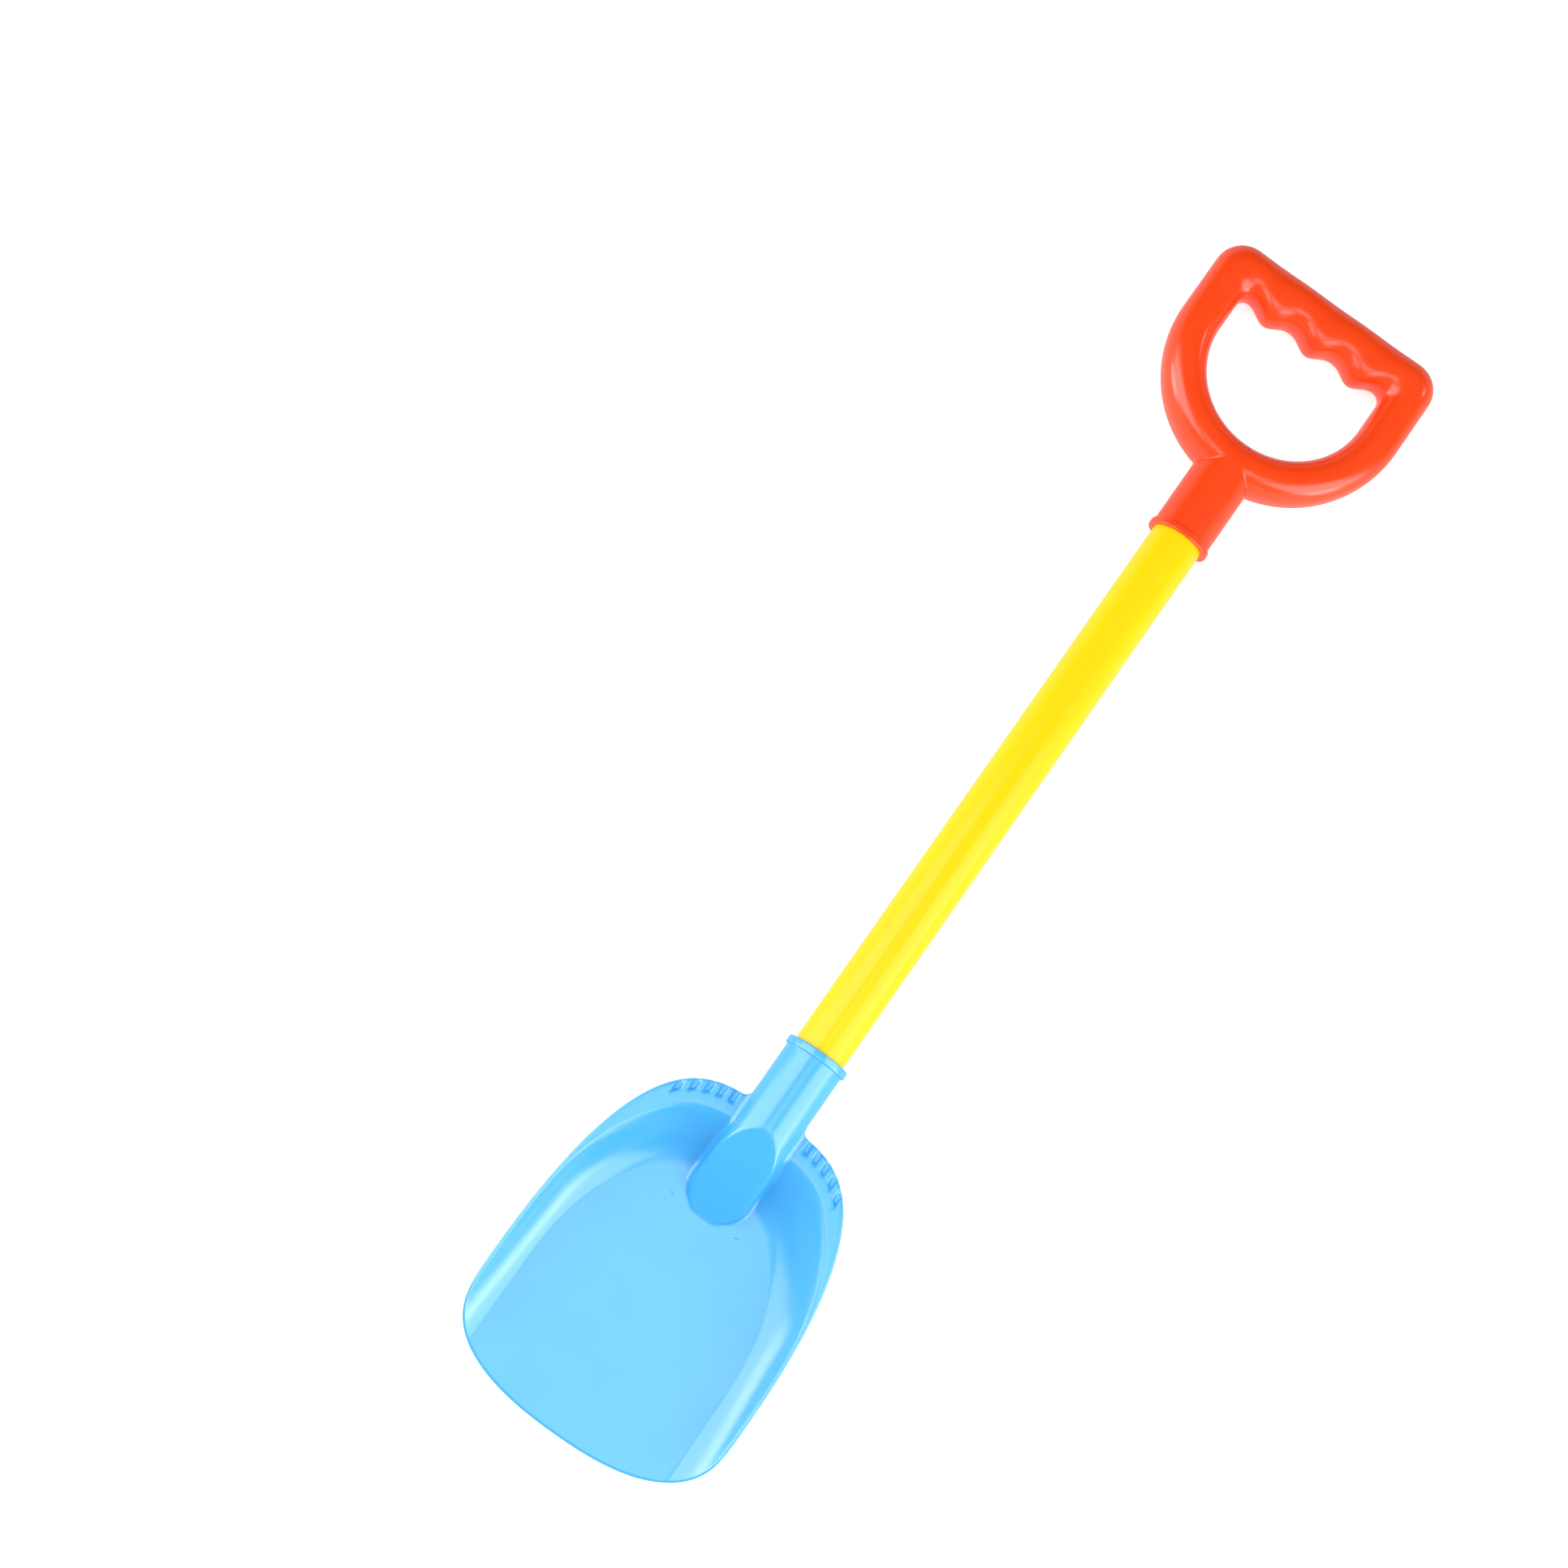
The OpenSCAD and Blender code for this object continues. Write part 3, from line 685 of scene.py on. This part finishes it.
class Nodes:
    """A material's node tree with short calls to add nodes and join them."""

    # Several sockets of a Mix node share a name, so its colour sockets go by number
    MIX_FACTOR, MIX_DARK, MIX_LIGHT, MIX_COLOUR = 0, 6, 7, 2

    def __init__(self, name):
        self.material = bpy.data.materials.new(name)
        self.material.use_nodes = True
        self.tree = self.material.node_tree
        self.tree.nodes.clear()
        self.shader = self.add("ShaderNodeBsdfPrincipled")
        self.join(self.shader, "BSDF", self.add("ShaderNodeOutputMaterial"), "Surface")
        self.place = self.add("ShaderNodeTexCoord")

    def add(self, kind, **values):
        """A new node, with values for its inputs or, where it has no such input, its settings."""
        node = self.tree.nodes.new(kind)
        for name, value in values.items():
            if name in node.inputs:
                node.inputs[name].default_value = value
            else:
                setattr(node, name, value)
        return node

    def join(self, source, output, target, socket):
        """A link from an output of one node to a socket of another."""
        self.tree.links.new(source.outputs[output], target.inputs[socket])

    def set(self, socket, value):
        """A constant on one of the shader's own sockets."""
        self.shader.inputs[socket].default_value = value

    def noise(self, size, detail, stretch=EVEN):
        """Noise with about size features to a metre, on object coordinates times a stretch."""
        mapping = self.add("ShaderNodeMapping", Scale=stretch)
        node = self.add("ShaderNodeTexNoise", Scale=size, Detail=detail)
        self.join(self.place, "Object", mapping, "Vector")
        self.join(mapping, "Vector", node, "Vector")
        return node

    def mapped(self, noise, low, high):
        """A noise's middle range carried onto the range from low to high."""
        node = self.add("ShaderNodeMapRange")
        node.inputs["From Min"].default_value = NOISE_LOW
        node.inputs["From Max"].default_value = NOISE_HIGH
        node.inputs["To Min"].default_value = low
        node.inputs["To Max"].default_value = high
        self.join(noise, "Fac", node, "Value")
        return node

    def tinted(self, noise, dark, light):
        """Base colour between dark and light by a noise."""
        node = self.add("ShaderNodeMix", data_type="RGBA")
        node.inputs[self.MIX_DARK].default_value = (*dark, 1.0)
        node.inputs[self.MIX_LIGHT].default_value = (*light, 1.0)
        self.join(self.mapped(noise, 0.0, 1.0), "Result", node, self.MIX_FACTOR)
        self.join(node, self.MIX_COLOUR, self.shader, "Base Color")

    def polished(self, noise, low, high):
        """Roughness between low and high by a noise."""
        self.join(self.mapped(noise, low, high), "Result", self.shader, "Roughness")

    def bumped(self, noises, strength, distance):
        """Bumps from a list of noises, one over the other, with their height in metres."""
        under = None
        for noise in noises:
            node = self.add("ShaderNodeBump", Strength=strength, Distance=distance)
            self.join(noise, "Fac", node, "Height")
            if under is not None:
                self.join(under, "Normal", node, "Normal")
            under = node
        self.join(under, "Normal", self.shader, "Normal")


def moulded_plastic(name, dark, light, gloss, shine):
    """Glossy moulded plastic: cloudy pigment, faint orange peel and uneven polish."""
    smoother, rougher = 0.015, 0.025
    nodes = Nodes(name)
    cloud = nodes.noise(size=18.0, detail=2.0)
    polish = nodes.noise(size=60.0, detail=2.0)
    peel = nodes.noise(size=900.0, detail=1.0)
    nodes.tinted(cloud, dark, light)
    nodes.polished(polish, gloss - smoother, gloss + rougher)
    nodes.bumped([peel], strength=0.03, distance=0.0001)
    nodes.set("Specular IOR Level", shine)
    nodes.set("IOR", PLASTIC_IOR)
    return nodes.material


def drawn_plastic(name, dark, light, gloss, shine):
    """Extruded tube plastic: cloudy pigment and fine draw lines along Y in the bump and the polish."""
    smoother, rougher = 0.03, 0.06
    nodes = Nodes(name)
    cloud = nodes.noise(size=40.0, detail=3.0, stretch=(1.0, 0.3, 1.0))
    lines = nodes.noise(size=700.0, detail=3.0, stretch=(1.0, 0.02, 1.0))
    peel = nodes.noise(size=420.0, detail=2.0)
    nodes.tinted(cloud, dark, light)
    nodes.polished(lines, gloss - smoother, gloss + rougher)
    nodes.bumped([lines, peel], strength=0.05, distance=0.0002)
    nodes.set("Specular IOR Level", shine)
    nodes.set("IOR", PLASTIC_IOR)
    return nodes.material


def zinc_plate(name):
    """Zinc-plated steel: grey metal with fine brushing and uneven dullness."""
    nodes = Nodes(name)
    brush = nodes.noise(size=2600.0, detail=3.0, stretch=(1.0, 0.05, 1.0))
    dull = nodes.noise(size=500.0, detail=3.0)
    nodes.tinted(dull, dark=(0.52, 0.53, 0.56), light=(0.70, 0.71, 0.73))
    nodes.polished(brush, low=0.26, high=0.42)
    nodes.bumped([brush], strength=0.12, distance=0.0001)
    nodes.set("Metallic", 1.0)
    return nodes.material


def white_sweep(name):
    """Matt white floor with a faint grain and a faint glow of its own."""
    nodes = Nodes(name)
    grain = nodes.noise(size=300.0, detail=2.0)
    nodes.tinted(grain, dark=(0.91, 0.91, 0.91), light=(0.93, 0.93, 0.93))
    nodes.bumped([grain], strength=0.02, distance=0.0002)
    nodes.set("Roughness", 0.9)
    nodes.set("Emission Color", WHITE)
    nodes.set("Emission Strength", 0.55)
    return nodes.material


# Stage

def white_floor():
    """A flat grid a hair under the shovel, wide enough to fill the picture, that no reflection shows."""
    reach, drop, steps = 800.0, 0.3, 9
    side = np.linspace(-reach, reach, steps)
    x, y = np.meshgrid(side, side)
    points = np.stack([x, y, np.full_like(x, -drop)], axis=2)
    mesh = bpy.data.meshes.new("floor")
    mesh.from_pydata(points.reshape(-1, 3) * MM, [], grid_faces(steps, steps))
    floor = bpy.data.objects.new("floor", mesh)
    bpy.context.scene.collection.objects.link(floor)
    floor.data.materials.append(white_sweep("white_sweep"))
    floor.visible_glossy = False
    return floor


def soft_box(name, place, aim, size, power, glare=True):
    """A rectangular light at a place, facing a point, both in metres, seen in reflections or not."""
    light = bpy.data.lights.new(name, "AREA")
    light.shape = "RECTANGLE"
    light.size, light.size_y = size
    light.energy = power
    box = bpy.data.objects.new(name, light)
    box.location = place
    box.rotation_euler = (Vector(aim) - Vector(place)).to_track_quat("-Z", "Y").to_euler()
    box.visible_camera = False
    box.visible_glossy = glare
    bpy.context.scene.collection.objects.link(box)


def studio_light():
    """Two wide lights without glare, a box over the pan, two boxes on each side and a small one."""
    upper_shaft = (0.0, 0.1, 0.0)
    scoop_socket = (0.0, -0.1, 0.0)
    pan_middle = (0.0, -0.2, 0.0)
    grip_middle = (0.0, 0.2, 0.0)
    soft_box("overhead", (0.0, 0.60, 1.3), upper_shaft, size=(1.6, 1.2), power=3.4, glare=False)
    soft_box("front", (0.0, -1.0, 1.0), scoop_socket, size=(1.6, 1.0), power=4.8, glare=False)
    soft_box("pan_box", (0.085, -0.24, 1.4), pan_middle, size=(0.5, 0.72), power=2.6)
    soft_box("left_box", (-0.72, -0.18, 0.72), scoop_socket, size=(0.8, 0.95), power=7.6)
    soft_box("right_box", (0.80, -0.16, 0.62), scoop_socket, size=(0.9, 1.05), power=9.5)
    soft_box("left_low", (-1.0, -0.26, 0.15), pan_middle, size=(0.40, 0.40), power=3.0)
    soft_box("right_low", (1.0, -0.26, 0.15), pan_middle, size=(0.40, 0.40), power=1.9)
    soft_box("small_box", (0.63, 0.84, 0.59), grip_middle, size=(0.08, 0.08), power=0.45)


def white_sky():
    """A sky that is bright at the horizon and black above, and that the camera sees as plain white."""
    horizon, dark_from = 0.8, 0.5
    world = bpy.data.worlds.new("studio")
    world.use_nodes = True
    tree = world.node_tree
    tree.nodes.clear()
    output = tree.nodes.new("ShaderNodeOutputWorld")
    sky = tree.nodes.new("ShaderNodeBackground")
    place = tree.nodes.new("ShaderNodeTexCoord")
    split = tree.nodes.new("ShaderNodeSeparateXYZ")
    level = tree.nodes.new("ShaderNodeMapRange")
    level.interpolation_type = "SMOOTHSTEP"
    level.inputs["From Min"].default_value = 0.0
    level.inputs["From Max"].default_value = dark_from
    level.inputs["To Min"].default_value = horizon
    level.inputs["To Max"].default_value = 0.0
    tree.links.new(place.outputs["Generated"], split.inputs["Vector"])
    tree.links.new(split.outputs["Z"], level.inputs["Value"])
    tree.links.new(level.outputs["Result"], sky.inputs["Strength"])
    path = tree.nodes.new("ShaderNodeLightPath")
    backdrop = tree.nodes.new("ShaderNodeBackground")
    backdrop.inputs["Color"].default_value = WHITE
    seen = tree.nodes.new("ShaderNodeMixShader")
    tree.links.new(path.outputs["Is Camera Ray"], seen.inputs["Fac"])
    tree.links.new(sky.outputs["Background"], seen.inputs[1])
    tree.links.new(backdrop.outputs["Background"], seen.inputs[2])
    tree.links.new(seen.outputs["Shader"], output.inputs["Surface"])
    bpy.context.scene.world = world


def photo_camera():
    """A camera looking almost straight down, with the shaft leaning to the right in the picture."""
    aim = Vector((-65.35, -18.08, AXIS_H)) * MM
    distance = 1014.2 * MM
    tilt = math.radians(9.78)
    toward = math.radians(91.18)
    lean = math.radians(35.55)
    picture_px, focal_px, sensor_mm = 1932.0, 3500.0, 36.0
    forward = Vector((
        math.sin(tilt) * math.cos(toward), math.sin(tilt) * math.sin(toward), -math.cos(tilt)))
    shaft = Vector((0.0, 1.0, 0.0))
    up = (shaft - forward * shaft.dot(forward)).normalized()
    side = forward.cross(up)
    right = side * math.cos(lean) + up * math.sin(lean)
    up = up * math.cos(lean) - side * math.sin(lean)
    lens = bpy.data.cameras.new("photo_camera")
    lens.sensor_width = sensor_mm
    lens.lens = focal_px / picture_px * sensor_mm
    camera = bpy.data.objects.new("photo_camera", lens)
    turn = Matrix((right, up, -forward)).transposed().to_4x4()
    camera.matrix_world = Matrix.Translation(aim - forward * distance) @ turn
    bpy.context.scene.collection.objects.link(camera)
    bpy.context.scene.camera = camera


# The pieces in place

blue = moulded_plastic(
    "pan_plastic", dark=(0.054, 0.420, 0.850), light=(0.064, 0.440, 0.880), gloss=0.24, shine=1.0)
yellow = drawn_plastic(
    "tube_plastic", dark=(0.920, 0.605, 0.001), light=(0.940, 0.640, 0.002), gloss=0.22, shine=0.32)
red = moulded_plastic(
    "grip_plastic", dark=(0.900, 0.052, 0.003), light=(0.930, 0.064, 0.005), gloss=0.23, shine=0.75)
finishes = (
    (scoop_shell(), "scoop", "pan_plastic", blue),
    (tube_shell(), "shaft_tube", "tube_plastic", yellow),
    (grip_shell(), "grip_handle", "grip_plastic", red))
for piece, node, slot, material in finishes:
    piece.data.materials.append(material)
    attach(piece, "root")
    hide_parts(node)

zinc = zinc_plate("screw_steel")
for node in ("scoop_screw", "grip_screw"):
    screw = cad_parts[node]
    screw.data.materials.clear()
    screw.data.materials.append(zinc)

white_floor()
studio_light()
white_sky()
photo_camera()
bpy.context.scene.view_settings.view_transform = "Standard"
